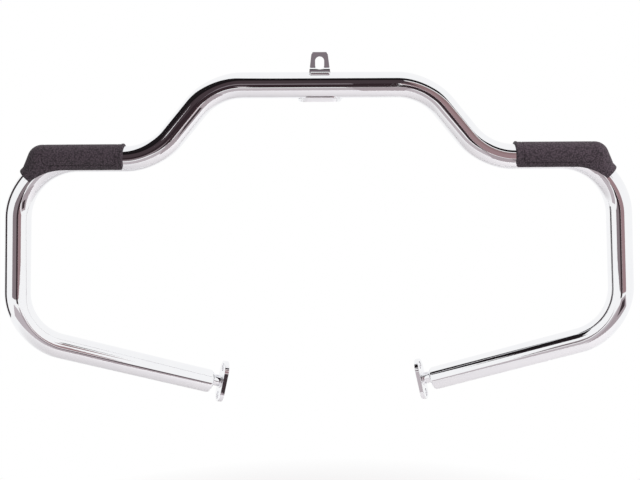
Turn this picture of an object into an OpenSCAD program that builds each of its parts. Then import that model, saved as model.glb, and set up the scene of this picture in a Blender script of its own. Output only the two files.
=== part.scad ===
// Engine crash bars for a motorcycle: one bent, chrome-plated round tube with
// a slotted tab and a saddle welded at its middle, a mounting flange welded
// below each lower arm, and a rubber foot pad on each shoulder.
// +X runs along the crossbar, -Y is the front of the bike and +Z is up.
// The origin is the slot's centre on the rear face of the tab, where the
// bar meets the frame. Angles round the tube count from the front upwards.

/* [Tube] */
// Outer diameter of the tube
tube_d = 31.75; // [25:0.25:38]
// Wall of the tube
tube_wall = 2.4; // [1.6:0.1:4]
// Radius of every bend, at the tube's centre line
bend_r = 76.2; // [60:0.1:85]
// How much thinner the wall is drawn on each face in a bend
bend_draw = 0.02; // [0.01:0.01:0.1]

/* [Loop] */
// Middle of the crossbar to the corner where the tube turns down
crossbar_half = 130; // [110:1:150]
// Sideways run of the sloping stretch, corner to corner
slope_run = 75; // [65:1:95]
// How far the shoulders lie below the crossbar
shoulder_drop = 89; // [75:1:105]
// Middle of the bar to the upper outer corner
corner_half = 371; // [350:1:400]
// Height of a leg, corner to corner
leg_drop = 221; // [180:1:260]
// How far a leg leans outwards over its height
leg_flare = 13; // [0:1:25]

/* [Lower arms] */
// Middle of the bar to the tube's end
arm_end_half = 160; // [130:1:190]
// How far the tube's end lies behind the crossbar
arm_back = 106; // [60:1:160]
// How far the tube's end lies below the lower corner
arm_drop = 91; // [60:1:120]
// Thickness of the cap that closes the tube
cap_t = 4; // [3:0.5:8]
// Rounding of the cap's rim
cap_round = 3; // [1:0.5:3]
// Depth of the cap's spigot inside the tube
spigot_len = 8; // [4:1:16]
// Clearance of the spigot inside the tube
spigot_gap = 0.1; // [0.05:0.05:0.3]

/* [Mounting flanges] */
// Height of a flange
flange_h = 58; // [50:1:76]
// Width of a flange
flange_w = 30; // [26:1:36]
// Thickness of a flange
flange_t = 6; // [4:0.5:10]
// Turn of a flange towards the front, seen from above
flange_turn = 18; // [10:1:30]
// Lean of a flange's top towards the middle
flange_tilt = 13; // [0:1:18]
// Diameter of the bolt holes
hole_d = 10.5; // [8.5:0.5:11]
// Distance between a flange's two bolt holes
hole_spacing = 40; // [36:1:44]
// Diameter of the neck between tube and flange
neck_d = 16; // [12:0.5:18]
// Free length of the neck
neck_len = 14.5; // [7:0.5:16]
// How far the neck stands above the middle of the cap
neck_lift = 3.5; // [0:0.5:4]

/* [Top tab] */
// Thickness of the tab
tab_t = 4; // [3:0.5:6]
// Width of the tab where it meets the tube
tab_foot_w = 26; // [22:0.2:32]
// Width of the tab at its top edge
tab_top_w = 19.4; // [17:0.2:22]
// Bevel of the tab's top corners
tab_bevel = 3; // [1:0.5:4]
// Height of the tab's top edge above the tube's centre line
tab_rise = 39.5; // [38:0.5:50]
// Height of the step above the tube's centre line
step_rise = 21; // [20.5:0.5:23]
// How far the tab's upper part stands behind its foot
step_back = 6; // [4.5:0.5:9]
// Radius at the front of the step
step_r = 4; // [2:0.5:4]
// How far the tab's rear face lies behind the tube's centre line
tab_back = 1; // [0:0.5:3]
// Width of the slot
slot_w = 11; // [9:0.5:13]
// Overall height of the slot
slot_h = 16; // [13:0.5:20]
// Height of the slot's centre above the tube's centre line
slot_rise = 26.2; // [25:0.1:29]

/* [Saddle] */
// Length of the saddle along the crossbar
saddle_len = 54; // [44:1:70]
// Angle from the saddle's middle to its long edges
saddle_wrap = 54; // [40:1:60]
// Thickness of the saddle
saddle_t = 4.5; // [3:0.5:6]
// Angle of the saddle's middle, below the front
saddle_angle = 125; // [100:1:140]

/* [Foot pads] */
// From the end of the slope's lower bend to a pad's inner end
pad_inset = 0.6; // [0:0.1:20]
// How far a pad follows the corner bend, in degrees
pad_turn = 48; // [48:1:56]
// Thickness of a pad
pad_t = 2.4; // [1.8:0.1:4]
// Clearance between a pad and the tube
pad_gap = 0.1; // [0.05:0.05:0.3]
// Angle of a pad's lower edges on the shoulder, below the middle
pad_low = 46; // [36:1:55]
// How far past the start of the corner bend those edges start to turn down
pad_sweep = 15; // [8:1:18]
// Start of the corner bend to the turn of the pad's heel
heel_reach = 42; // [41:0.5:46]
// Slope of the heel's outer side, in degrees
heel_slope = 66; // [63:1:68]
// Length of the raised rim at a pad's inner end
rim_len = 2.5; // [1:0.5:5]
// Height of that rim above the pad
rim_t = 0.8; // [0.4:0.1:1.5]
// Rounding of the lower corners at a pad's inner end
pad_corner = 4; // [2:0.5:6]
// Width of the groove round the tread panel
groove_w = 1.6; // [0.8:0.2:2.4]
// Depth of that groove
groove_depth = 0.8; // [0.4:0.1:1.2]
// Inner end of the pad to the groove's inner end
groove_start = 8; // [5:1:15]
// Turn of the heel back to the groove's outer end
groove_end = 2; // [2:1:10]
// How far the lower grooves lie below the middle of the shoulder
groove_low = 8; // [5:0.5:10]

/* [Welds] */
// Radius of the bead along the front of the tab's foot
tab_front_bead_r = 2.6; // [1.4:0.1:3]
// Radius of the bead behind the tab's foot
tab_rear_bead_r = 1.6; // [1:0.1:1.8]
// Width of the bead round the saddle
saddle_bead_w = 2; // [1:0.5:2]
// Height of the bead round the saddle
saddle_bead_h = 2; // [1:0.5:3]
// Radius of the beads at both ends of a neck
neck_bead_r = 1.8; // [1:0.1:2]

/* [Hidden] */
$fn = 96;
LAST_RUN = 4;
tube_r = tube_d / 2;
bore_r = tube_r - tube_wall;
neck_r = neck_d / 2;
hole_depth = 3 * flange_t;
// How far a cut runs past what it cuts
over = 1;
// Overlap of a straight run with the bend beside it
seam = 0.5;
saddle_w = 2 * tube_r * sin(saddle_wrap);
// Longer than any piece that it cuts
far = 80;
// How far a pad's bend lies inside the straight bar along the shoulder
round_draw = 0.15;
// How far the bar down the heel's outer side lies inside that bar
heel_draw = 0.07;
// How far the ball at the turn of the heel lies inside that bar
ball_draw = 0.22;
// How far the heel's flat sides lie inside that bar
flat_draw = 0.3;
// Overlap of the heel's flat sides with the round ones beside them
flat_lap = 2;

// Corners of the right half, as if its bends were sharp
path = [
    [0, 0, 0],
    [crossbar_half, 0, 0],
    [crossbar_half + slope_run, 0, -shoulder_drop],
    [corner_half, 0, -shoulder_drop],
    [corner_half + leg_flare, 0, -shoulder_drop - leg_drop],
    [arm_end_half, arm_back, -shoulder_drop - leg_drop - arm_drop]
];
SHOULDER_RUN = 2;
CORNER_BEND = 3;

tab_front = tab_back - tab_t;
foot_front = tab_front - step_back;
foot_z = sqrt(pow(tube_r, 2) - pow(foot_front, 2));
foot_rear = foot_front + tab_t;
foot_rear_z = sqrt(pow(tube_r, 2) - pow(foot_rear, 2));
reference = [0, tab_back, slot_rise];
pad_r = tube_r + pad_gap;
pad_outer_r = pad_r + pad_t;

function unit(v) = v / norm(v);

// Direction of straight run k, from corner k to corner k + 1
function run_dir(k) = unit(path[k + 1] - path[k]);

// Angle that the tube turns through at corner k
function turn(k) = acos(run_dir(k - 1) * run_dir(k));

// Length that the bend at corner k takes from each run beside it
function setback(k) = bend_r * tan(turn(k) / 2);

function run_start(k) = k == 0 ? path[0] : path[k] + setback(k) * run_dir(k);
function run_end(k) = k == LAST_RUN ? path[k + 1]
    : path[k + 1] - setback(k + 1) * run_dir(k);

// Axis that the tube turns about at corner k, and the way from the
// bend's centre to where it starts
function bend_axis(k) = unit(cross(run_dir(k - 1), run_dir(k)));
function bend_out(k) = cross(run_dir(k - 1), bend_axis(k));
function bend_centre(k) = run_end(k - 1) - bend_r * bend_out(k);

// Matrix that sends X, Y and Z to three directions, moved to a point
function placed(x, y, z, at) = [
    [x[0], y[0], z[0], at[0]],
    [x[1], y[1], z[1], at[1]],
    [x[2], y[2], z[2], at[2]],
    [0, 0, 0, 1]
];

corner_x = run_end(SHOULDER_RUN)[0];
corner_z = -shoulder_drop - bend_r;
pad_start = run_start(SHOULDER_RUN)[0] + pad_inset;
pad_drop = pad_outer_r * sin(pad_low);
heel_x = corner_x + heel_reach;
heel_dir = [cos(heel_slope), -sin(heel_slope)];
arm_dir = run_dir(LAST_RUN);
arm_up = unit([0, 0, 1] - ([0, 0, 1] * arm_dir) * arm_dir);
cap_face = path[LAST_RUN + 1] + cap_t * arm_dir;
neck_foot = cap_face + neck_lift * arm_up;
hub = neck_foot + neck_len * arm_dir;
flange_normal = [
    cos(flange_turn) * cos(flange_tilt),
    -sin(flange_turn) * cos(flange_tilt),
    sin(flange_tilt)
];
flange_centre = hub - flange_normal * flange_t / 2;

module chrome() { color([0.82, 0.83, 0.86]) children(); }
module rubber() { color([0.16, 0.15, 0.17]) children(); }

// From the crossbar's centre to the part's own origin
module in_place() { translate(-reference) children(); }
module left_side() { mirror([1, 0, 0]) children(); }

// Turns Z to a direction and moves the start to a point
module along(start, direction) {
    translate(start)
        rotate([0, acos(direction[2]), atan2(direction[1], direction[0])])
            children();
}

module rod(a, b, r) {
    along(a, unit(b - a)) cylinder(h = norm(b - a), r = r);
}

module tube_run(a, b) {
    difference() {
        rod(a, b, tube_r);
        along(a - over * unit(b - a), unit(b - a))
            cylinder(h = norm(b - a) + 2 * over, r = bore_r);
    }
}

// Frame of the bend at corner k: X points from its centre to its start,
// Y along the tube there and Z along its axis
module at_bend(k) {
    multmatrix(placed(bend_out(k), run_dir(k - 1), bend_axis(k), bend_centre(k)))
        children();
}

module tube_bend(k) {
    at_bend(k) rotate_extrude(angle = turn(k)) translate([bend_r, 0]) difference() {
        circle(r = tube_r - bend_draw);
        circle(r = bore_r + bend_draw);
    }
}

module half_loop() {
    for (k = [1:LAST_RUN]) {
        tail = k == LAST_RUN ? 0 : seam;
        tube_bend(k);
        tube_run(run_start(k) - seam * run_dir(k), run_end(k) + tail * run_dir(k));
    }
}

module main_tube() {
    chrome() union() {
        tube_run([-run_end(0)[0] - seam, 0, 0], [run_end(0)[0] + seam, 0, 0]);
        half_loop();
        left_side() half_loop();
    }
}

// Stadium outline, its long side along X
module stadium(length, width) {
    translate([-(length - width) / 2, -width / 2]) square([length - width, width]);
    for (side = [-1, 1]) translate([side * (length - width) / 2, 0]) circle(d = width);
}

// Side view of the tab, front to the left: foot, step and upper part
module tab_profile() {
    translate([foot_front, 0]) square([tab_t, step_rise - step_r]);
    translate([foot_front + step_r, step_rise - tab_t])
        square([step_back + tab_t - step_r, tab_t]);
    intersection() {
        translate([foot_front + step_r, step_rise - step_r]) circle(r = step_r);
        translate([foot_front, step_rise - step_r]) square(step_r);
    }
    translate([tab_front, step_rise - tab_t]) square([tab_t, tab_rise - step_rise + tab_t]);
}

// Front view of the tab
module tab_outline() {
    top = tab_rise;
    slope = (tab_foot_w - tab_top_w) / 2 / (tab_rise - foot_z);
    half = tab_top_w / 2;
    polygon([
        [-half - slope * tab_rise, 0],
        [half + slope * tab_rise, 0],
        [half + slope * tab_bevel, top - tab_bevel],
        [half - tab_bevel / 2, top],
        [-half + tab_bevel / 2, top],
        [-half - slope * tab_bevel, top - tab_bevel]
    ]);
}

module top_tab() {
    chrome() difference() {
        intersection() {
            rotate([90, 0, 90]) linear_extrude(height = far, center = true) tab_profile();
            rotate([90, 0, 0]) linear_extrude(height = far, center = true) tab_outline();
        }
        rod([-far, 0, 0], [far, 0, 0], tube_r);
        translate([0, 0, slot_rise]) rotate([90, 0, 0])
            linear_extrude(height = far, center = true)
                rotate([0, 0, 90]) stadium(slot_h, slot_w);
    }
}

// Round-ended bead along X, outside the tube and the tab
module foot_bead(y, z, bead_r) {
    half = tab_foot_w / 2 - bead_r;
    difference() {
        union() {
            rod([-half, y, z], [half, y, z], bead_r);
            for (side = [-1, 1]) translate([side * half, y, z]) sphere(r = bead_r);
        }
        rod([-far, 0, 0], [far, 0, 0], tube_r);
        translate([-far, foot_front, 0]) cube([2 * far, tab_t, far]);
    }
}

module tab_weld_front() { chrome() foot_bead(foot_front, foot_z, tab_front_bead_r); }
module tab_weld_rear() { chrome() foot_bead(foot_rear, foot_rear_z, tab_rear_bead_r); }

// Wall of thickness t round the crossbar, under a stadium outline
module saddle_shell(length, width, t) {
    intersection() {
        difference() {
            rod([-far, 0, 0], [far, 0, 0], tube_r + t);
            rod([-2 * far, 0, 0], [2 * far, 0, 0], tube_r);
        }
        rotate([90 + saddle_angle, 0, 0]) linear_extrude(height = far)
            stadium(length, width);
    }
}

module saddle() { chrome() saddle_shell(saddle_len, saddle_w, saddle_t); }

module saddle_weld() {
    chrome() difference() {
        saddle_shell(saddle_len + 2 * saddle_bead_w, saddle_w + 2 * saddle_bead_w,
            saddle_bead_h);
        rotate([90 + saddle_angle, 0, 0]) linear_extrude(height = 2 * far)
            stadium(saddle_len, saddle_w);
    }
}

module end_cap() {
    chrome() along(path[LAST_RUN + 1], arm_dir) union() {
        rotate_extrude() {
            square([tube_r - cap_round, cap_t]);
            square([tube_r, cap_t - cap_round]);
            intersection() {
                translate([tube_r - cap_round, cap_t - cap_round]) circle(r = cap_round);
                square(tube_r);
            }
        }
        translate([0, 0, -spigot_len]) cylinder(h = spigot_len, r = bore_r - spigot_gap);
    }
}

// Frame of the flange: X along its normal towards the tube, Z up its height
module at_flange() {
    translate(flange_centre) rotate([0, -flange_tilt, -flange_turn]) children();
}

// Everything behind the flange's face that carries the neck
module behind_flange_face() {
    at_flange() translate([flange_t / 2 - far, -far / 2, -far / 2]) cube(far);
}

module behind_cap_face() {
    along(cap_face, arm_dir) translate([-far / 2, -far / 2, -far]) cube(far);
}

module neck() {
    chrome() difference() {
        along(neck_foot, arm_dir) cylinder(h = neck_len + neck_d, r = neck_r);
        behind_flange_face();
    }
}

module neck_bead() {
    rotate_extrude() translate([neck_r, 0]) circle(r = neck_bead_r);
}

module neck_weld() {
    chrome() difference() {
        along(neck_foot, arm_dir) neck_bead();
        behind_cap_face();
        along(neck_foot - neck_d * arm_dir, arm_dir) cylinder(h = 3 * neck_d, r = neck_r);
    }
}

module flange_weld() {
    chrome() difference() {
        at_flange() translate([flange_t / 2, 0, 0]) rotate([0, 90, 0]) neck_bead();
        behind_flange_face();
        along(neck_foot, arm_dir) cylinder(h = 3 * neck_d, r = neck_r);
    }
}

module flange() {
    chrome() at_flange() difference() {
        rotate([0, 90, 0]) linear_extrude(height = flange_t, center = true)
            stadium(flange_h, flange_w);
        for (side = [-1, 1]) translate([0, 0, side * hole_spacing / 2])
            rotate([0, 90, 0]) cylinder(h = hole_depth, d = hole_d, center = true);
    }
}

// Carries an outline of X and Z, seen from the front, through the pad
module from_front(depth) {
    rotate([90, 0, 0]) linear_extrude(height = depth, center = true) children();
}

// Round bar along the bend at the pad's corner, angle in degrees
module bend_bar(r, angle) {
    at_bend(CORNER_BEND) rotate_extrude(angle = angle) translate([bend_r, 0]) circle(r = r);
}

// Flat sides of the heel, from the bend's middle to the middle of its outside
module heel_sides(r) {
    start = [corner_x + over, -shoulder_drop + flat_lap];
    heel = [heel_x + flat_lap * tan(heel_slope / 2), -shoulder_drop + flat_lap];
    finish = heel + far * heel_dir;
    from_front(2 * (r - flat_draw)) difference() {
        polygon([[corner_x + over, corner_z], start, heel, finish]);
        translate([corner_x, corner_z]) circle(r = bend_r - flat_lap);
    }
}

// Round bar along the shoulder to the turn of the heel, and all round the bend
module pad_body(r) {
    rod([pad_start, 0, -shoulder_drop], [heel_x, 0, -shoulder_drop], r);
    bend_bar(r - round_draw, pad_turn + over);
    heel_sides(r);
}

// Round bar down the heel's outer side, and the ball at its turn
module heel_bar(r) {
    rod([heel_x + over * heel_dir[0], 0, -shoulder_drop + over * heel_dir[1]],
        [heel_x + far * heel_dir[0], 0, -shoulder_drop + far * heel_dir[1]], r - heel_draw);
    translate([heel_x, 0, -shoulder_drop]) sphere(r = r - ball_draw);
}

// Seen from the front: all that lies under a pad's lower edges
module under_pad() {
    translate([corner_x + pad_sweep, corner_z]) circle(r = bend_r - pad_drop);
    translate([pad_start - far, corner_z - far])
        square([corner_x + pad_sweep - pad_start + far, bend_r - pad_drop + far]);
    translate([pad_start - over, -shoulder_drop - pad_drop - over]) difference() {
        square(pad_corner + over);
        translate([pad_corner + over, pad_corner + over]) circle(r = pad_corner);
    }
}

// Seen from the front: all that lies past a pad's end on the corner bend
module past_pad() {
    translate([corner_x, corner_z]) rotate([0, 0, 90 - pad_turn])
        translate([-far, -3 * far]) square([5 * far, 3 * far]);
}

// Seen from the front: the groove's outer or inner outline
module tread_panel(inset) {
    width = heel_x - groove_end - pad_start - groove_start - 2 * inset;
    translate([pad_start + groove_start + inset, -shoulder_drop - groove_low + inset])
        square([width, far]);
}

module foot_pad() {
    rubber() difference() {
        union() {
            pad_body(pad_outer_r);
            heel_bar(pad_outer_r);
            rod([pad_start, 0, -shoulder_drop], [pad_start + rim_len, 0, -shoulder_drop],
                pad_outer_r + rim_t);
        }
        rod([pad_start - over, 0, -shoulder_drop], [corner_x + seam, 0, -shoulder_drop], pad_r);
        bend_bar(pad_r + bend_draw, 90);
        from_front(4 * far) under_pad();
        from_front(4 * far) past_pad();
        difference() {
            from_front(4 * far) difference() {
                tread_panel(0);
                tread_panel(groove_w);
            }
            pad_body(pad_outer_r - groove_depth);
        }
    }
}

in_place() main_tube();
in_place() top_tab();
in_place() tab_weld_front();
in_place() tab_weld_rear();
in_place() saddle();
in_place() saddle_weld();
in_place() left_side() end_cap();  // left_end_cap
in_place() end_cap();  // right_end_cap
in_place() left_side() neck();  // left_neck
in_place() neck();  // right_neck
in_place() left_side() neck_weld();  // left_neck_weld
in_place() neck_weld();  // right_neck_weld
in_place() left_side() flange();  // left_flange
in_place() flange();  // right_flange
in_place() left_side() flange_weld();  // left_flange_weld
in_place() flange_weld();  // right_flange_weld
in_place() left_side() foot_pad();  // left_foot_pad
in_place() foot_pad();  // right_foot_pad
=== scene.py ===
# %% [markdown]
# # Chrome crash bars for a motorcycle
#
# The real object is one steel tube, bent eight times, plated with chrome and
# bolted to the front of a motorcycle's frame. A small tab and a saddle are
# welded to its crossbar, a flange hangs on each lower end, and a rubber foot
# pad wraps each shoulder.
# The measured model comes first, as a fixed frame. Every visible piece is then
# worked out in the same place from the same sizes, so nothing has to be fitted.

import bmesh
import bpy
import numpy as np
from mathutils import Matrix, Vector


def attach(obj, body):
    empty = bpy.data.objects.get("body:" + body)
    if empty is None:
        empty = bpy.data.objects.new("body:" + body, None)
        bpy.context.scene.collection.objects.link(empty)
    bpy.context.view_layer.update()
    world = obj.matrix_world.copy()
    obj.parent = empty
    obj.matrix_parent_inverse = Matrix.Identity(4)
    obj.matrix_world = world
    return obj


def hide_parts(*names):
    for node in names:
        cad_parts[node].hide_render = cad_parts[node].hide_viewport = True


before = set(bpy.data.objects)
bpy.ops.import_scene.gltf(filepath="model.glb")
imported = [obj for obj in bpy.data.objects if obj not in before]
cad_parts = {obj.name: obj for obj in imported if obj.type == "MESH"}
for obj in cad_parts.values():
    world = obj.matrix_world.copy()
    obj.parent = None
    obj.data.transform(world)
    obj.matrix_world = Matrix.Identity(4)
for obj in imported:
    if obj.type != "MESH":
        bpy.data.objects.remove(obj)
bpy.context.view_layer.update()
print("pieces in the measured model:", len(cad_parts))

# %% [markdown]
# ## Sizes
#
# A tube bender works in millimetres from the middle of the crossbar, and so
# do we: X along the crossbar, -Y to the front, Z up. The model's own origin is
# the slot in the tab, so one small function moves a point there and turns it
# to metres at the very end.

# %% Sizes of the bar
TUBE_R = 31.75 / 2
WALL = 2.4
BEND_R = 76.2
SHOULDER_Z = -89.0
CORNERS = np.array([
    (0, 0, 0),
    (130, 0, 0),
    (205, 0, SHOULDER_Z),
    (371, 0, SHOULDER_Z),
    (384, 0, -310),
    (160, 106, -401),
], float)
SLOT_CENTRE = np.array((0.0, 1.0, 26.2))
MM = 0.001
FULL_TURN = 2 * np.pi


def in_metres(points):
    """Millimetres from the crossbar's middle become metres from the slot."""
    return (np.asarray(points, float) - SLOT_CENTRE) * MM


def mirrored(points):
    """The same points on the other side of the bike: X changes its sign."""
    return np.asarray(points, float) * (-1, 1, 1)


def unit(v):
    """A direction: the vector over its own length."""
    return v / np.linalg.norm(v, axis=-1, keepdims=True)


# A pair of pieces is worked out for the right side and mirrored for the left
SIDES = (("left", mirrored), ("right", np.asarray))
print("tube of", 2 * TUBE_R, "mm with", len(CORNERS) - 2, "bends on each side")

# %% [markdown]
# ## From a grid of points to a mesh
#
# Nearly every piece here is a skin over a grid: rows run along the piece and
# columns run round it. Four neighbours make one face. The faces can be listed
# as whole arrays, because the point in row i and column j has number
# i * columns + j. Points that fall together, such as a pole, are merged, and
# the outsides are worked out again afterwards.

# %% A skin over a grid
MERGE_WITHIN, DROP_BELOW = 0.004 * MM, 0.001 * MM


def finished(mesh_object, slot, *nodes):
    """Says what a piece rides on and what it stands for. The slot argument, meant for its
    finish, is not used.
    """
    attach(mesh_object, "root")
    if nodes:
        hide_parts(*nodes)
    return mesh_object


def skin(name, grid, loop_rows=False, loop_columns=True, sharp=40):
    """Mesh over a grid of points, in millimetres: a quad joins the points
    (i, j), (i+1, j), (i+1, j+1) and (i, j+1)."""
    rows, columns = grid.shape[:2]
    number = np.arange(rows * columns).reshape(rows, columns)
    if loop_rows:
        number = np.vstack([number, number[:1]])
    if loop_columns:
        number = np.hstack([number, number[:, :1]])
    quads = np.stack([number[:-1, :-1], number[1:, :-1],
                      number[1:, 1:], number[:-1, 1:]], -1).reshape(-1, 4)
    mesh = bpy.data.meshes.new(name)
    mesh.from_pydata(in_metres(grid.reshape(-1, 3)).tolist(), [], quads.tolist())
    work = bmesh.new()
    work.from_mesh(mesh)
    bmesh.ops.remove_doubles(work, verts=work.verts, dist=MERGE_WITHIN)
    bmesh.ops.dissolve_degenerate(work, edges=work.edges, dist=DROP_BELOW)
    bmesh.ops.recalc_face_normals(work, faces=work.faces)
    work.to_mesh(mesh)
    work.free()
    mesh.shade_smooth()
    mesh.set_sharp_from_angle(angle=np.radians(sharp))
    piece = bpy.data.objects.new(name, mesh)
    bpy.context.collection.objects.link(piece)
    print(name, "has", len(mesh.polygons), "faces")
    return piece


# %% [markdown]
# ## The centre line
#
# A bender feeds straight tube, then turns it over a die of one radius. So the
# centre line is straight runs joined by arcs. An arc starts before the sharp
# corner by radius * tan(turn / 2), and each point on it is the start turned
# about the arc's axis. Turning the tube's front along with it keeps the rings
# from twisting. The die stretches the outside of a bend and flattens it, most
# in its middle and in the tightest turns, so the way out of each bend is kept
# too, as long as it is flattened there.

# %% Work out the bends
def turned(vector, axis, angles):
    """v cos a + (axis x v) sin a + axis (axis . v)(1 - cos a), for each angle."""
    a = np.asarray(angles)[:, None]
    return (vector * np.cos(a) + np.cross(axis, vector) * np.sin(a)
            + axis * (vector @ axis) * (1 - np.cos(a)))


def bent_line(corners, radius, step):
    """Points, directions, fronts and flattened sides along the runs and arcs,
    and each arc's centre; the step is in degrees."""
    facing, nowhere = np.array((0.0, -1.0, 0.0)), np.zeros((1, 3))
    points, ahead, front = [corners[:1]], [unit(corners[1:2] - corners[:1])], [facing[None]]
    flat, centres = [nowhere], []
    for before, corner, after in zip(corners, corners[1:], corners[2:]):
        come, go = unit(corner - before), unit(after - corner)
        turn = np.arccos(come @ go)
        axis = unit(np.cross(come, go))
        start = corner - radius * np.tan(turn / 2) * come
        outward = np.cross(come, axis)
        centre = start - radius * outward
        angles = np.linspace(0, turn, int(np.degrees(turn) / step) + 2)
        points.append(centre + radius * turned(outward, axis, angles))
        ahead.append(turned(come, axis, angles))
        front.append(turned(facing, axis, angles))
        flat.append(turned(outward, axis, angles) * (turn / (np.pi / 2)) ** 2
                    * np.sin(np.pi * angles[:, None] / turn) ** 2)
        facing = front[-1][-1]
        centres.append(centre)
    points.append(corners[-1:])
    ahead.append(ahead[-1][-1:])
    front.append(facing[None])
    flat.append(nowhere)
    return np.vstack(points), np.vstack(ahead), np.vstack(front), np.vstack(flat), centres


DEGREES_PER_RING = 1.25
line, ahead, front, flat, bend_centres = bent_line(CORNERS, BEND_R, DEGREES_PER_RING)
whole_line = np.vstack([mirrored(line[:0:-1]), line])
whole_front = np.vstack([mirrored(front[:0:-1]), front])
whole_ahead = np.vstack([-mirrored(ahead[:0:-1]), ahead])
whole_flat = np.vstack([mirrored(flat[:0:-1]), flat])
CORNER_CENTRE = bend_centres[2]
print("centre line of", len(whole_line), "points,",
      round(float(np.linalg.norm(np.diff(whole_line, axis=0), axis=1).sum())), "mm long")

# %% [markdown]
# ## The tube
#
# Chrome shows every flat, so the tube gets its own skin, finer than the
# measured model's. It could be a curve object with a round bevel, but a ring
# of points carried along the line gives even faces that stay fine through the
# bends. The rings run out along the outside and back along the bore, and the
# last joins the first, so the wall is closed like a real one.

# %% Bend the tube
TUBE_SIDES, FLATTENING = 72, 0.11


def rings(points, directions, fronts, flat_sides, radius, sides):
    """Spokes front cos a + up sin a round each point, up = front x ahead. A
    spoke loses a share of its length by how far it leans to the flat side."""
    a = np.linspace(0, FULL_TURN, sides, endpoint=False)[None, :, None]
    ups = np.cross(fronts, directions)
    spokes = fronts[:, None] * np.cos(a) + ups[:, None] * np.sin(a)
    lean = np.clip((spokes * flat_sides[:, None]).sum(-1, keepdims=True), 0, 1)
    return points[:, None] + radius * (1 - FLATTENING * lean) * spokes


outside = rings(whole_line, whole_ahead, whole_front, whole_flat, TUBE_R, TUBE_SIDES)
bore = rings(whole_line, whole_ahead, whole_front, whole_flat, TUBE_R - WALL, TUBE_SIDES)[::-1]
finished(skin("bent_tube", np.vstack([outside, bore]), loop_rows=True), "chrome", "main_tube")

# %% [markdown]
# ## Plugs and necks
#
# A plug with a rounded rim closes each end of the tube, and a short round neck
# carries the flange. Both are turned parts, so each is half a section spun
# about its axis. The section starts and ends on the axis, where the points
# merge to a pole, and the skin comes out closed.

# %% Turn the plugs and the necks
ARM_END = CORNERS[-1]
ARM = ahead[-1]
ARM_UP = unit(np.array((0, 0, 1.0)) - ARM[2] * ARM)
CAP_T, CAP_ROUND = 4.0, 3.0
SPIGOT_LEN, SPIGOT_R, SPIGOT_EDGE = 8.0, TUBE_R - WALL - 0.1, 0.8
NECK_R, NECK_LEN, NECK_SINK, NECK_LIFT = 8.0, 14.5, 2.5, 3.5
NECK_FOOT = ARM_END + CAP_T * ARM + NECK_LIFT * ARM_UP


def spun(section, start, axis, sides=72):
    """Each (radius, height) of the section goes once round the axis."""
    section = np.asarray(section, float)
    aside = unit(np.cross(axis, (0.0, 0.0, 1.0)))
    a = np.linspace(0, FULL_TURN, sides, endpoint=False)[None, :, None]
    round_it = aside * np.cos(a) + np.cross(axis, aside) * np.sin(a)
    return start + section[:, 1, None, None] * axis + section[:, 0, None, None] * round_it


def rounded_rim(radius, top, fillet, steps=7):
    """Quarter circle from the side of a turned part to its top face."""
    a = np.linspace(0, np.pi / 2, steps)
    return np.column_stack([radius - fillet + fillet * np.cos(a),
                            top - fillet + fillet * np.sin(a)])


plug_section = np.vstack([
    [(0, -SPIGOT_LEN), (SPIGOT_R - SPIGOT_EDGE, -SPIGOT_LEN),
     (SPIGOT_R, SPIGOT_EDGE - SPIGOT_LEN), (SPIGOT_R, 0), (TUBE_R, 0)],
    rounded_rim(TUBE_R, CAP_T, CAP_ROUND),
    [(0, CAP_T)]])
neck_top = NECK_LEN + NECK_SINK
neck_section = [(0, 0), (NECK_R, 0), (NECK_R, neck_top), (0, neck_top)]
for side, flip in SIDES:
    finished(skin(f"{side}_plug", flip(spun(plug_section, ARM_END, ARM))),
             "chrome", f"{side}_end_cap")
    finished(skin(f"{side}_flange_neck", flip(spun(neck_section, NECK_FOOT, ARM))),
             "chrome", f"{side}_neck")

# %% [markdown]
# ## Cut plates
#
# The tab, the saddle and the two flanges are cut from plate, and plating
# rounds their edges a little. Their measured shapes are right, so each piece
# starts as a copy: its loose triangles are merged, flat ones are joined, and a
# Bevel modifier rounds what is sharper than 40 degrees.

# %% Round the edges of the cut plates
PLATE_MERGE, FLAT_ANGLE, EDGE_ANGLE = 0.002 * MM, np.radians(0.5), np.radians(40)


def eased(name, node, edge):
    """Copy of a measured plate with its edges rounded to a radius in mm."""
    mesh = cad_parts[node].data.copy()
    mesh.name = name
    work = bmesh.new()
    work.from_mesh(mesh)
    bmesh.ops.remove_doubles(work, verts=work.verts, dist=PLATE_MERGE)
    bmesh.ops.dissolve_limit(work, angle_limit=FLAT_ANGLE, verts=work.verts, edges=work.edges)
    work.to_mesh(mesh)
    work.free()
    mesh.shade_smooth()
    mesh.set_sharp_from_angle(angle=EDGE_ANGLE)
    mesh.materials.clear()
    piece = bpy.data.objects.new(name, mesh)
    bpy.context.collection.objects.link(piece)
    bevel = piece.modifiers.new("eased_edge", "BEVEL")
    bevel.width = edge * MM
    bevel.segments = 3
    bevel.limit_method = "ANGLE"
    bevel.angle_limit = EDGE_ANGLE
    bevel.harden_normals = True
    print(name, "starts with", len(mesh.polygons), "faces")
    return finished(piece, "chrome", node)


eased("slotted_tab", "top_tab", 0.5)
eased("saddle_plate", "saddle", 1.0)
for side in ("left", "right"):
    eased(f"{side}_flange_plate", f"{side}_flange", 0.8)

# %% [markdown]
# ## Weld beads
#
# A welder lays a bead as a row of small overlapping puddles, so it is a rope
# with a ripple every millimetre or two. Here a circle is carried along the
# joint, and its radius swells and dips with the length. The half that lies in
# the steel stays hidden.

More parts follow.
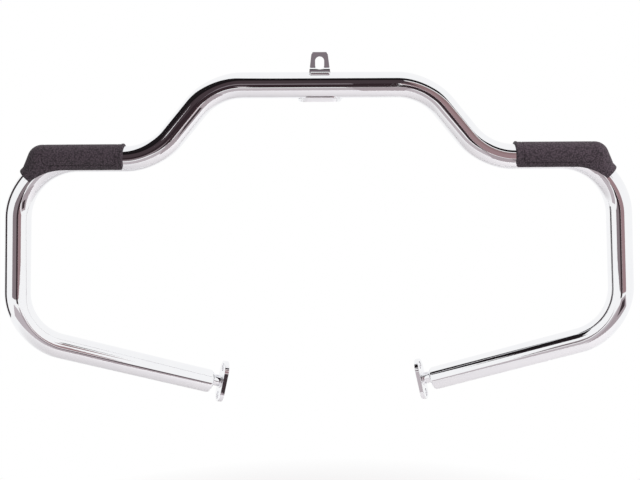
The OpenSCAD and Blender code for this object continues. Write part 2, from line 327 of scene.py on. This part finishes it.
# %% Lay the beads
def bead(name, node, points, outward, radius, pitch, closed):
    """Round rope along the joint. Its radius is r * (0.93 + 0.07 |sin|) of the
    length over the pitch, and it closes to a point at the ends of an open bead."""
    step = np.linalg.norm(np.diff(points, axis=0), axis=1)
    length = np.concatenate([[0], np.cumsum(step)])
    ends = np.roll(points, -1, 0) - np.roll(points, 1, 0)
    if not closed:
        ends = np.gradient(points, axis=0)
    along = unit(ends)
    across = np.cross(along, outward)
    a = np.linspace(0, FULL_TURN, 20, endpoint=False)
    lag = 0.35 * np.cos(a)[None] * pitch
    swell = 0.93 + 0.07 * np.abs(np.sin(np.pi * (length[:, None] + lag) / pitch))
    if not closed:
        left = np.minimum(length, length[-1] - length)[:, None]
        swell = swell * np.sqrt(np.clip(1 - (1 - np.clip(left / radius, 0, 1)) ** 2, 0, 1))
    reach = (radius * swell)[..., None]
    grid = points[:, None] + reach * (outward[:, None] * np.cos(a)[None, :, None]
                                      + across[:, None] * np.sin(a)[None, :, None])
    return finished(skin(name, grid, loop_rows=closed, sharp=75), "chrome", node)


TAB_FRONT_Y, TAB_T, STEP_BACK, TAB_FOOT_W = -3.0, 4.0, 6.0, 26.0
FOOT_Y = TAB_FRONT_Y - STEP_BACK
TAB_PITCH, TAB_RISE = 2.2, 1.2
for place, aside, y, thick in (("front", -1.0, FOOT_Y, 2.6), ("rear", 1.0, FOOT_Y + TAB_T, 1.6)):
    z = np.sqrt(TUBE_R ** 2 - y ** 2)
    x = np.linspace(-TAB_FOOT_W / 2, TAB_FOOT_W / 2, 160)
    seam = np.column_stack([x, np.full_like(x, y), np.full_like(x, z)])
    up = np.tile(unit(np.array((0, aside, TAB_RISE))), (len(x), 1))
    bead(f"tab_bead_{place}", f"tab_weld_{place}", seam, up, thick, TAB_PITCH, False)

FLANGE_TURN, FLANGE_TILT, FLANGE_T = np.radians(18), np.radians(13), 6.0
FLANGE_NORMAL = np.array((np.cos(FLANGE_TURN) * np.cos(FLANGE_TILT),
                          -np.sin(FLANGE_TURN) * np.cos(FLANGE_TILT), np.sin(FLANGE_TILT)))
HUB = NECK_FOOT + NECK_LEN * ARM
NECK_BEAD_R, NECK_PITCH = 1.8, 2.4


def ring_seam(centre, axis, radius, points=240):
    """Circle about an axis, and the way out of the corner that it runs in."""
    aside = unit(np.cross(axis, (0.0, 0.0, 1.0)))
    a = np.linspace(0, FULL_TURN, points, endpoint=False)[:, None]
    spoke = aside * np.cos(a) + np.cross(axis, aside) * np.sin(a)
    return centre + radius * spoke, unit(spoke + axis)


for side, flip in SIDES:
    seam, out = ring_seam(NECK_FOOT, ARM, NECK_R)
    bead(f"{side}_neck_bead", f"{side}_neck_weld", flip(seam), flip(out),
         NECK_BEAD_R, NECK_PITCH, True)
    seam, out = ring_seam(HUB, FLANGE_NORMAL, NECK_R)
    bead(f"{side}_flange_bead", f"{side}_flange_weld", flip(seam), flip(out),
         NECK_BEAD_R, NECK_PITCH, True)

# %% [markdown]
# The saddle's bead follows an oval outline that is wrapped round the tube. We
# walk the outline on flat paper first, then roll the paper: the distance round
# the tube divided by its radius is the angle.

# %% The bead round the saddle
SADDLE_LEN, SADDLE_WRAP, SADDLE_ANGLE = 54.0, np.radians(54), np.radians(125)
SADDLE_HALF_W = TUBE_R * np.sin(SADDLE_WRAP)
SEAM_HALF_W, PAPER_R, OVAL_POINTS = SADDLE_HALF_W + 0.6, TUBE_R + 0.4, 480
SADDLE_BEAD_R, SADDLE_PITCH = 1.7, 2.6
a = np.linspace(0, FULL_TURN, OVAL_POINTS, endpoint=False)
straight_part = (SADDLE_LEN / 2 - SADDLE_HALF_W) * np.sign(np.cos(a))
oval_x, oval_y = straight_part + SEAM_HALF_W * np.cos(a), SEAM_HALF_W * np.sin(a)
outline = np.column_stack([oval_x, oval_y])
walk = np.concatenate([[0], np.cumsum(np.linalg.norm(np.diff(outline, axis=0), axis=1))])
even = np.linspace(0, walk[-1], OVAL_POINTS)
oval_x, oval_y = np.interp(even, walk, oval_x), np.interp(even, walk, oval_y)
lean = np.arcsin(np.clip(oval_y / PAPER_R, -1, 1)) + SADDLE_ANGLE
out = np.column_stack([np.zeros_like(lean), -np.cos(lean), -np.sin(lean)])
seam = TUBE_R * out + np.column_stack([oval_x, np.zeros_like(lean), np.zeros_like(lean)])
bead("saddle_bead", "saddle_weld", seam, out, SADDLE_BEAD_R, SADDLE_PITCH, True)

# %% [markdown]
# ## Foot pads
#
# Each pad is a shell of moulded rubber, 2.4 mm thick and open below, that is
# pushed over a shoulder. At the bend it grows a heel that stops a boot from
# sliding off. Seen from the front, the heel fills the wedge between the line
# of the shoulder and a steep line outside it. The rubber reaches one bar's
# radius beyond that wedge, which gives the heel flat sides and round edges.

# %% Shape the heel
PAD_R, PAD_T, PAD_EDGE = TUBE_R + 0.1, 2.4, 1.1
PAD_OUT = PAD_R + PAD_T
PAD_START, PAD_TURN = 241.0, np.radians(48)
STRAIGHT = CORNER_CENTRE[0] - PAD_START
PAD_LENGTH = STRAIGHT + BEND_R * PAD_TURN
HEEL_X, HEEL_SLOPE = CORNER_CENTRE[0] + 42.0, np.radians(66)
FARTHEST, HALVINGS = PAD_OUT + 40.0, 24


def on_shoulder(along, angle, radius):
    """Point at a distance along the pad, an angle round the tube above its
    front, and a radius from the centre line."""
    bend = np.maximum(along - STRAIGHT, 0) / BEND_R
    x_out, z_out = np.sin(bend), np.cos(bend)
    reach = BEND_R + radius * np.sin(angle)
    x = CORNER_CENTRE[0] + np.minimum(along - STRAIGHT, 0) + x_out * reach
    return np.stack([x, -radius * np.cos(angle), CORNER_CENTRE[2] + z_out * reach], -1)


def outside_wedge(x, z):
    """Distance from the heel's wedge in the front view: to the nearer of its
    two lines, or to its corner where both lines have ended."""
    x, z = x - HEEL_X, z - SHOULDER_Z
    beyond = x * np.sin(HEEL_SLOPE) + z * np.cos(HEEL_SLOPE)
    above = z * np.sin(HEEL_SLOPE) - x * np.cos(HEEL_SLOPE)
    beside = np.maximum(np.maximum(z, beyond), 0)
    return np.where((x > 0) & (above > 0), np.hypot(x, z), beside)


def rubber_radius(along, angle):
    """Radius of the pad's face. The face is where distance from the wedge and
    distance from the middle plane, squared, add up to the bar's radius squared.
    It is found by halving a range of radii again and again."""
    near = np.full(np.broadcast_shapes(along.shape, angle.shape), PAD_OUT)
    far = np.full_like(near, FARTHEST)
    for _ in range(HALVINGS):
        middle = (near + far) / 2
        x, y, z = np.moveaxis(on_shoulder(along, angle, middle), -1, 0)
        inside = outside_wedge(x, z) ** 2 + y ** 2 < PAD_OUT ** 2
        near, far = np.where(inside, middle, near), np.where(inside, far, middle)
    return np.where(np.sin(angle) > 0, near, PAD_OUT)


print("a pad follows", round(float(STRAIGHT), 1), "mm of shoulder and",
      round(float(BEND_R * PAD_TURN), 1), "mm of bend")

# %% [markdown]
# The pad's lower edge runs level along the shoulder, then sweeps down round
# the bend. A rim stands up at the inner end, and a fine groove frames the
# tread. A tread could be sculpted, but here one formula does it: the height of
# the rubber as a function of the distance along the pad and round it.

# %% Mould the pads
PAD_ARC, PAD_STEP = 85.0, 0.52
PAD_DROP, PAD_SWEEP, PAD_CORNER = PAD_OUT * np.sin(np.radians(46)), 15.0, 4.0
RIM_LEN, RIM_T, RIM_FADE = 2.5, 0.8, 0.8
GROOVE_W, GROOVE_DEPTH = 1.6, 0.8
TIGHT_CORNER, WIDE_CORNER = 3.0, 9.0
PANEL_INNER, PANEL_OUTER, PANEL_LOW = PAD_START + 8.8, HEEL_X - 2.8, SHOULDER_Z - 7.2


def eased_steps(length):
    """Places from 0 to the length, and the share of the full height at each:
    a short wall, a quarter circle, the full height, and the same again."""
    a = np.linspace(0, np.pi / 2, 5)
    rise_at = PAD_EDGE * (1 - np.cos(a))
    rise = (PAD_T - PAD_EDGE + PAD_EDGE * np.sin(a)) / PAD_T
    steps = int((length - 2 * PAD_EDGE) / PAD_STEP)
    middle = np.linspace(PAD_EDGE, length - PAD_EDGE, steps)[1:-1]
    places = np.concatenate([[0], rise_at, middle, length - rise_at[::-1], [length]])
    return places, np.concatenate([[0], rise, np.ones_like(middle), rise[::-1], [0]])


def smooth_step(x):
    """0 below 0, 1 above 1 and 3 x^2 - 2 x^3 between."""
    x = np.clip(x, 0, 1)
    return x * x * (3 - 2 * x)


def lower_edge(along):
    """Angle of the lower edge: a level line below the shoulder, then a circle
    about a point beside the bend's centre; rounded where the pad begins."""
    bend = np.maximum(along - STRAIGHT, 0) / BEND_R
    level = BEND_R - PAD_DROP
    swept = PAD_SWEEP * np.sin(bend) + np.sqrt(level ** 2 - (PAD_SWEEP * np.cos(bend)) ** 2)
    reach = np.where(level * np.tan(bend) < PAD_SWEEP, level / np.cos(bend), swept)
    left = np.clip(PAD_CORNER - along, 0, PAD_CORNER)
    rounding = PAD_CORNER - np.sqrt(PAD_CORNER ** 2 - left ** 2)
    return np.arcsin((reach + rounding - BEND_R) / PAD_OUT)


def panel_distance(x, z):
    """How far a place in the front view is outside the tread's panel, below 0
    if inside. The panel's lower corners are tight inside and wide outside."""
    half = (PANEL_OUTER - PANEL_INNER) / 2
    aside, under = x - (PANEL_OUTER + PANEL_INNER) / 2, PANEL_LOW - z
    corner = np.where(aside < 0, TIGHT_CORNER, WIDE_CORNER)
    qx, qz = np.abs(aside) - half + corner, under + corner
    beyond = np.hypot(np.maximum(qx, 0), np.maximum(qz, 0))
    return beyond + np.minimum(np.maximum(qx, qz), 0) - corner


along, share_along = eased_steps(PAD_LENGTH)
around, share_around = eased_steps(PAD_ARC)
along, share = along[:, None], share_along[:, None] * share_around[None]
low = lower_edge(along)
angle = low + (np.pi - 2 * low) * around[None] / PAD_ARC
reach = rubber_radius(along, angle)
face = on_shoulder(along, angle, reach)
rim = RIM_T * (1 - smooth_step((along - RIM_LEN) / RIM_FADE))
groove = GROOVE_DEPTH * (1 - smooth_step(
    (np.abs(panel_distance(face[..., 0], face[..., 2])) - GROOVE_W / 4) / (GROOVE_W / 4)))
top = on_shoulder(along, angle, PAD_R + share * (reach - PAD_R + rim - groove))
under = on_shoulder(along, angle, np.full_like(angle, PAD_R))
pad_grid = np.concatenate([top, under[:, ::-1]], axis=1)
print("a pad is", round(float(np.ptp(pad_grid[..., 0])), 1), "mm long and",
      round(float(np.ptp(pad_grid[..., 2])), 1), "mm high")
for side, flip in SIDES:
    finished(skin(f"{side}_rubber_pad", flip(pad_grid), sharp=60),
             "pad_rubber", f"{side}_foot_pad")

# %% [markdown]
# ## Colours and nodes
#
# A finish is a small network of nodes. One helper turns the hex colours of a
# paint chart to linear light, and one adds a node with its settings and links,
# so that each finish below reads like a recipe.

# %% Two helpers for finishes
def linear(hex_colour):
    """Hex colour to linear light: s / 12.92, or ((s + 0.055) / 1.055) ^ 2.4."""
    s = np.array([int(hex_colour[i:i + 2], 16) for i in (1, 3, 5)]) / 255
    light = np.where(s <= 0.04045, s / 12.92, ((s + 0.055) / 1.055) ** 2.4)
    return (*light.tolist(), 1.0)


def add(tree, kind, inputs=None, **settings):
    """New node: settings are its properties, inputs are values or sockets."""
    node = tree.nodes.new(kind)
    for key, value in settings.items():
        setattr(node, key, value)
    for key, value in (inputs or {}).items():
        if isinstance(value, bpy.types.NodeSocket):
            tree.links.new(value, node.inputs[key])
        else:
            node.inputs[key].default_value = value
    return node


def new_finish(name):
    """Empty material, its node tree and its output node."""
    material = bpy.data.materials.new(name)
    material.use_nodes = True
    material.node_tree.nodes.clear()
    return material, material.node_tree, add(material.node_tree, "ShaderNodeOutputMaterial")


# %% [markdown]
# ## Bright chrome
#
# Decorative chrome is a thin, slightly blue metal plated over polished nickel.
# It is nearly a mirror, so it has little colour of its own, and its look is
# the room that it reflects. The polish leaves a faint waviness and slightly
# duller patches, drawn here as a very shallow bump and a roughness that
# drifts between two low values.

# %% Plate the steel
chrome, tree, output = new_finish("bright_chrome_plate")
place = add(tree, "ShaderNodeTexCoord").outputs["Object"]
# Patches of about 25 mm where the buffing wheel pressed more or less
buffing = add(tree, "ShaderNodeTexNoise", {"Vector": place, "Scale": 40.0, "Detail": 3.0})
dullness = add(tree, "ShaderNodeMapRange", {"Value": buffing.outputs["Fac"], "From Min": 0.3,
               "From Max": 0.7, "To Min": 0.025, "To Max": 0.06})
tint = add(tree, "ShaderNodeMix", {"Factor": buffing.outputs["Fac"], "A": linear("#f0f1f4"),
           "B": linear("#f6f6f7")}, data_type="RGBA")
ripple = add(tree, "ShaderNodeTexNoise", {"Vector": place, "Scale": 110.0, "Detail": 1.0})
wave = add(tree, "ShaderNodeBump", {"Height": ripple.outputs["Fac"], "Strength": 0.06,
           "Distance": 0.0004})
metal = add(tree, "ShaderNodeBsdfPrincipled", {
    "Base Color": tint.outputs["Result"], "Metallic": 1.0,
    "Roughness": dullness.outputs["Result"], "Normal": wave.outputs["Normal"]})
tree.links.new(metal.outputs["BSDF"], output.inputs["Surface"])
print(chrome.name, "has", len(tree.nodes), "nodes")

# %% [markdown]
# ## Moulded rubber
#
# The pads are a black synthetic rubber from a mould that was etched with a
# pebble grain. Rubber is a dull dielectric with an IOR of about 1.52. The real
# pebbles are about 1 mm apart, which is too fine for this view, so they are
# drawn 2 mm apart.

# %% Mould the rubber
rubber, tree, output = new_finish("pebbled_black_rubber")
place = add(tree, "ShaderNodeTexCoord").outputs["Object"]
pebble = add(tree, "ShaderNodeTexVoronoi", {"Vector": place, "Scale": 480.0,
             "Randomness": 1.0}, feature="F1")
bloom = add(tree, "ShaderNodeTexNoise", {"Vector": place, "Scale": 60.0, "Detail": 4.0})
dusty = add(tree, "ShaderNodeMix", {"Factor": bloom.outputs["Fac"], "A": linear("#231c22"),
            "B": linear("#30272e")}, data_type="RGBA")
# Painted light on the grain: the tops of the pebbles are painted paler, as a highlight, and the
# hollows between them darker, as shade
painted_pebble_light = add(tree, "ShaderNodeMapRange", {"Value": pebble.outputs["Distance"], "From Min": 0.15,
           "From Max": 0.75, "To Min": 0.75, "To Max": 0.0})
pebble_colour_with_painted_light = add(tree, "ShaderNodeMix", {"Factor": painted_pebble_light.outputs["Result"],
           "A": dusty.outputs["Result"], "B": linear("#53464f")}, data_type="RGBA")
dull = add(tree, "ShaderNodeMapRange", {"Value": bloom.outputs["Fac"], "To Min": 0.62,
           "To Max": 0.8})
grain = add(tree, "ShaderNodeBump", {"Height": pebble.outputs["Distance"], "Strength": 0.8,
            "Distance": 0.0006}, invert=True)
moulding = add(tree, "ShaderNodeBsdfPrincipled", {
    "Base Color": pebble_colour_with_painted_light.outputs["Result"], "IOR": 1.52,
    "Roughness": dull.outputs["Result"], "Normal": grain.outputs["Normal"]})
tree.links.new(moulding.outputs["BSDF"], output.inputs["Surface"])
print(rubber.name, "has", len(tree.nodes), "nodes")

# %% [markdown]
# The whole steel unit goes through the plating bath in one go, after welding,
# so even the beads are chrome. Only the two pads differ.

# %% Give each piece its finish
shells = [piece for piece in bpy.context.scene.objects if piece.type == "MESH"]
for piece in shells:
    piece.data.materials.clear()
    piece.data.materials.append(rubber if "pad" in piece.name else chrome)
print("meshes with a finish:", len(shells))

# %% [markdown]
# ## The studio
#
# Bright metal is lit by large white surfaces and given its drawing by dark
# ones. The world is white, and the other end of the studio stands two metres
# in front of the bar: a black ceiling, a dark wall, a brown one and somebody
# behind the camera. Plain boards stand in for them. Only reflections see the
# boards, and the camera sees the white behind.

# %% White world
ROOM_LIGHT = 0.42
scene = bpy.context.scene
world = bpy.data.worlds.new("white_studio")
scene.world = world
world.use_nodes = True
tree = world.node_tree
tree.nodes.clear()
rays = add(tree, "ShaderNodeLightPath")
bright = add(tree, "ShaderNodeMath", {0: rays.outputs["Is Camera Ray"],
             1: rays.outputs["Is Glossy Ray"]}, operation="MAXIMUM")
level = add(tree, "ShaderNodeMapRange", {"Value": bright.outputs["Value"], "To Min": ROOM_LIGHT,
            "To Max": 1.0})
sky = add(tree, "ShaderNodeBackground", {"Color": (1, 1, 1, 1),
          "Strength": level.outputs["Result"]})
add(tree, "ShaderNodeOutputWorld", {"Surface": sky.outputs["Background"]})
print("the room lights dull surfaces with a strength of", ROOM_LIGHT)

# %% [markdown]
# The floor is white paper. Near the bar it is a plain matt sheet, so that it
# keeps the shadow. Farther out it fades into the white of the background.

# %% Pale floor
FLOOR_Z, FLOOR_REACH = -0.92, 9
FADE_FROM, FADE_TO = 0.5, 1.1
floor_mesh = bpy.data.meshes.new("studio_floor")
floor_mesh.from_pydata([(x * FLOOR_REACH, y * FLOOR_REACH, FLOOR_Z)
                        for x, y in ((-1, -1), (1, -1), (1, 1), (-1, 1))],
                       [], [(0, 1, 2, 3)])
floor = bpy.data.objects.new("studio_floor", floor_mesh)
bpy.context.collection.objects.link(floor)
paper, tree, output = new_finish("white_paper_floor")
rays = add(tree, "ShaderNodeLightPath")
place = add(tree, "ShaderNodeTexCoord").outputs["Object"]
away = add(tree, "ShaderNodeVectorMath", {0: place, 1: (1, 1, 0)}, operation="MULTIPLY")
away = add(tree, "ShaderNodeVectorMath", {0: away.outputs["Vector"]}, operation="LENGTH")
far = add(tree, "ShaderNodeMapRange", {"Value": away.outputs["Value"], "From Min": FADE_FROM,
          "From Max": FADE_TO}, clamp=True)
matte = add(tree, "ShaderNodeBsdfDiffuse", {"Color": linear("#f4f0f2")})
glow = add(tree, "ShaderNodeEmission", {"Color": (1, 1, 1, 1), "Strength": 1.0})
seen = add(tree, "ShaderNodeMath", {0: rays.outputs["Is Camera Ray"],
           1: rays.outputs["Is Glossy Ray"]}, operation="MAXIMUM")
share = add(tree, "ShaderNodeMath", {0: seen.outputs["Value"], 1: far.outputs["Result"]},
            operation="MULTIPLY")
both = add(tree, "ShaderNodeMixShader", {0: share.outputs["Value"], 1: matte.outputs["BSDF"],
           2: glow.outputs["Emission"]})
tree.links.new(both.outputs["Shader"], output.inputs["Surface"])
floor_mesh.materials.append(paper)
print(paper.name, "fades out from", FADE_FROM, "to", FADE_TO, "m")

# %% [markdown]
# Each board is flat and glows in one dull colour. Reflections see it, but it
# lights nothing and casts no shadow. Its edges draw lines along the chrome, and
# its width sets how broad the dark band between them is.

# %% Boards that only reflections see
def board(name, corners, colour):
    """Flat board with corners in metres, seen by reflections alone."""
    mesh = bpy.data.meshes.new(name)
    mesh.from_pydata(corners, [], [tuple(range(len(corners)))])
    piece = bpy.data.objects.new(name, mesh)
    bpy.context.collection.objects.link(piece)
    material, tree, output = new_finish(name)
    light = add(tree, "ShaderNodeEmission", {"Color": linear(colour), "Strength": 1.0})
    tree.links.new(light.outputs["Emission"], output.inputs["Surface"])
    mesh.materials.append(material)
    for ray in ("camera", "diffuse", "transmission", "volume_scatter", "shadow"):
        setattr(piece, "visible_" + ray, False)


# Upright boards that face the bar: left, right, low, high, distance, colour
FACING = {
    "black_ceiling": (-3.0, 3.0, 1.60, 3.30, 2.05, "#1b1719"),
    "dark_wall_far_left": (-3.0, -1.6, 0.95, 1.60, 2.05, "#3f3539"),
    "dark_wall": (-1.6, 0.5, 0.25, 1.60, 2.05, "#463b3f"),
    "brown_wall_low": (0.3, 1.5, -0.80, 0.50, 2.05, "#9f8487"),
    "brown_wall_high": (0.5, 2.3, 0.50, 1.30, 2.05, "#917879"),
    "pale_bench": (-1.5, -0.15, -0.80, -0.20, 2.05, "#887c80"),
    "camera_and_arms": (-1.10, 0.28, -0.30, 0.25, 2.00, "#33282c"),
    "grey_shirt": (-0.45, 0.12, 0.05, 0.32, 1.98, "#82787d"),
    "photographer": (-0.24, 0.28, -0.86, -0.30, 2.00, "#392c30"),
}
for name, (left, right, low, high, distance, colour) in FACING.items():
    board(name, [(left, -distance, low), (right, -distance, low),
                 (right, -distance, high), (left, -distance, high)], colour)

# Upright boards at the sides: x, front, back, low, high, colour
ASIDE = {
    "black_wall_left": (-3.0, -2.05, 0.75, 1.62, 3.00, "#1f1b1d"),
    "dark_stand_left": (-1.45, -0.10, 0.46, -0.88, 0.75, "#40383b"),
}
for name, (x, front_y, back_y, low, high, colour) in ASIDE.items():
    board(name, [(x, front_y, low), (x, back_y, low),
                 (x, back_y, high), (x, front_y, high)], colour)

# The ceiling's corner. Its slanting edge lets the black run out to a point.
board("black_corner_left", [(-3.0, -2.05, 3.0), (0.0, -2.05, 3.0), (-3.0, 0.75, 3.0)],
      "#1f1b1d")

# Sheets on the floor: left, right, front, back, height above it, colour
LYING = {
    "grey_sheet": (-1.1, 0.1, -1.75, -0.75, 0.004, "#c1b8bc"),
    "brown_sheet": (0.1, 1.4, -2.05, -0.60, 0.004, "#aea2a6"),
    # The dark patch lying at the right is painted shadow on the floor, a dark board that only
    # reflections see
    "painted_floor_shadow": (0.55, 1.15, -1.70, -0.95, 0.010, "#403639"),
}
for name, (left, right, front_y, back_y, lift, colour) in LYING.items():
    board(name, [(left, front_y, FLOOR_Z + lift), (right, front_y, FLOOR_Z + lift),
                 (right, back_y, FLOOR_Z + lift), (left, back_y, FLOOR_Z + lift)], colour)
print("boards that reflections see:", len(FACING) + len(ASIDE) + 1 + len(LYING))

# %% [markdown]
# ## Lamps
#
# Two large soft lamps stand in front. The right one is nearer and brighter, so
# that the right pad is a little paler than the left. The chrome takes its light
# from the room, and the lamps are hidden from its reflections.

# %% Hang the lamps
AIM, SOFTBOX_SIZE = Vector((0, 0, -0.2)), 1.2


def lamp(name, place, watts):
    """Square area lamp that looks at the bar."""
    data = bpy.data.lights.new(name, "AREA")
    data.size = SOFTBOX_SIZE
    data.energy = watts
    source = bpy.data.objects.new(name, data)
    source.location = place
    source.rotation_euler = (AIM - Vector(place)).to_track_quat("-Z", "Y").to_euler()
    source.visible_glossy = False
    bpy.context.collection.objects.link(source)
    print(name, "of", watts, "W stands", round((AIM - Vector(place)).length, 2), "m away")


lamp("right_softbox", (1.3, -1.0, 1.1), 44)
lamp("left_softbox", (-1.6, -1.6, 1.6), 7)

# %% [markdown]
# ## The camera
#
# The picture was taken from 1.1 m in front of the bar and a little below its
# crossbar, with a 50 mm lens pointed slightly down. The lens shift puts the
# optical axis where the perspective of the photograph has it.

# %% Set up the camera
EYE = (-3.1, -1100.0, -56.7)
YAW, PITCH, ROLL = np.radians((1.323, 7.0, 0.337))
FOCAL_PX, AXIS_PX, WIDTH_PX = 883.85, 338.9, 640
look = np.array((np.sin(YAW) * np.cos(PITCH), np.cos(YAW) * np.cos(PITCH), -np.sin(PITCH)))
level_right = np.array((np.cos(YAW), -np.sin(YAW), 0))
level_down = np.cross(look, level_right)
right = np.cos(ROLL) * level_right + np.sin(ROLL) * level_down
down = np.cos(ROLL) * level_down - np.sin(ROLL) * level_right
eye = bpy.data.cameras.new("camera")
eye.sensor_fit = "HORIZONTAL"
eye.sensor_width = 36.0
eye.lens = FOCAL_PX / WIDTH_PX * eye.sensor_width
eye.shift_x = (WIDTH_PX / 2 - AXIS_PX) / WIDTH_PX
camera = bpy.data.objects.new("camera", eye)
camera.matrix_world = Matrix.Translation(Vector(in_metres(EYE))) @ Matrix(
    np.column_stack([right, -down, -look]).tolist()).to_4x4()
bpy.context.collection.objects.link(camera)
scene.camera = camera
scene.view_settings.view_transform = "Standard"
print("lens", round(eye.lens, 1), "mm")
